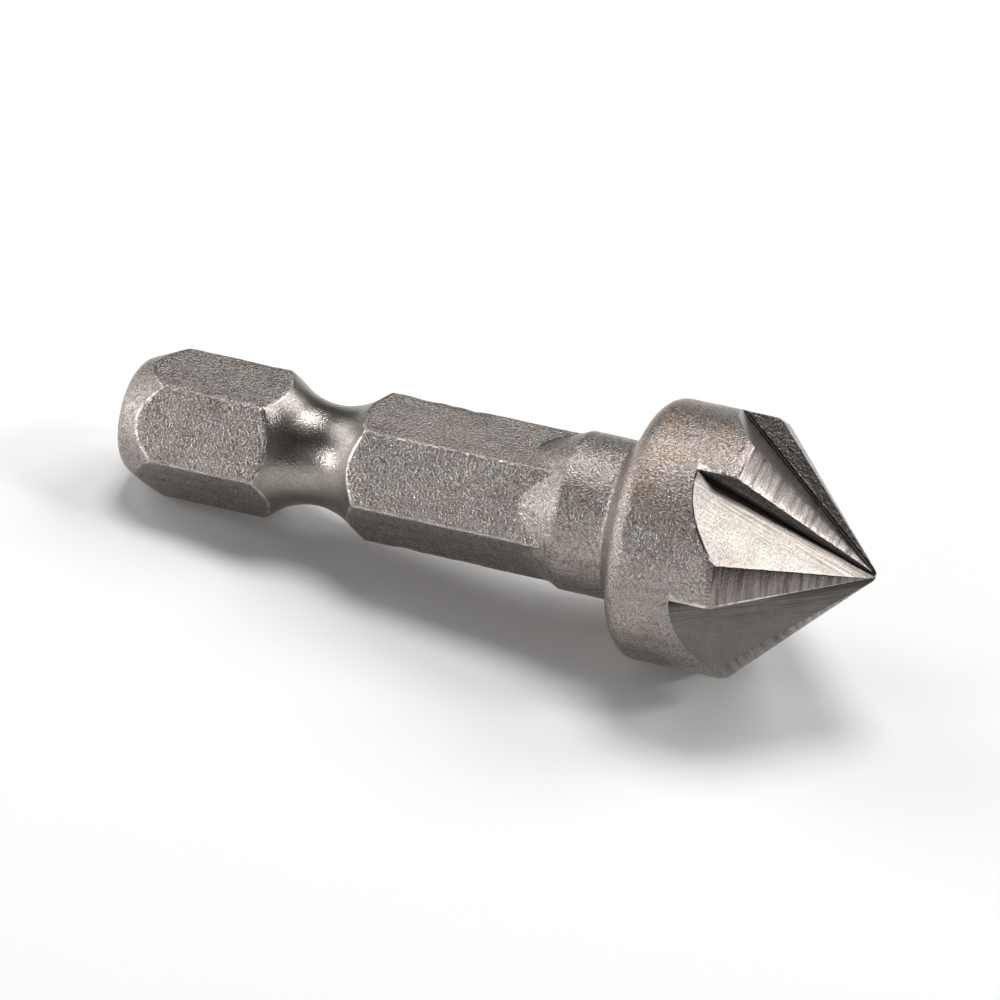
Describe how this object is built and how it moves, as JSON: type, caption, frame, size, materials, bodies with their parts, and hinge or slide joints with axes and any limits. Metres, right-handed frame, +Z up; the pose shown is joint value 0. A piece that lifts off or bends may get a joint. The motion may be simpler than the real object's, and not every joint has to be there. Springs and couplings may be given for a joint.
{
  "type": "countersink bit",
  "caption": "One-piece steel countersink bit: a fluted 90 degree cutting cone on a hexagonal quick-change shank with a detent groove.",
  "frame": {"origin": "centre of the bounding box's underside, on the surface the bit rests on", "axes": "+Z up, +X level, from the shank end towards the cutting tip. The bit's own axis climbs 6.99 degrees towards the tip, because it rests on one shank flat and the shoulder of its head"},
  "size_m": [0.0378, 0.0126, 0.0131],
  "materials": {
    "steel": "dull fine-grained forged and blasted steel on shank and head, bright ground flutes and cone, brown heat tint on the head"
  },
  "bodies": {
    "root": {"countersink_bit": "steel"}
  },
  "joints": []
}
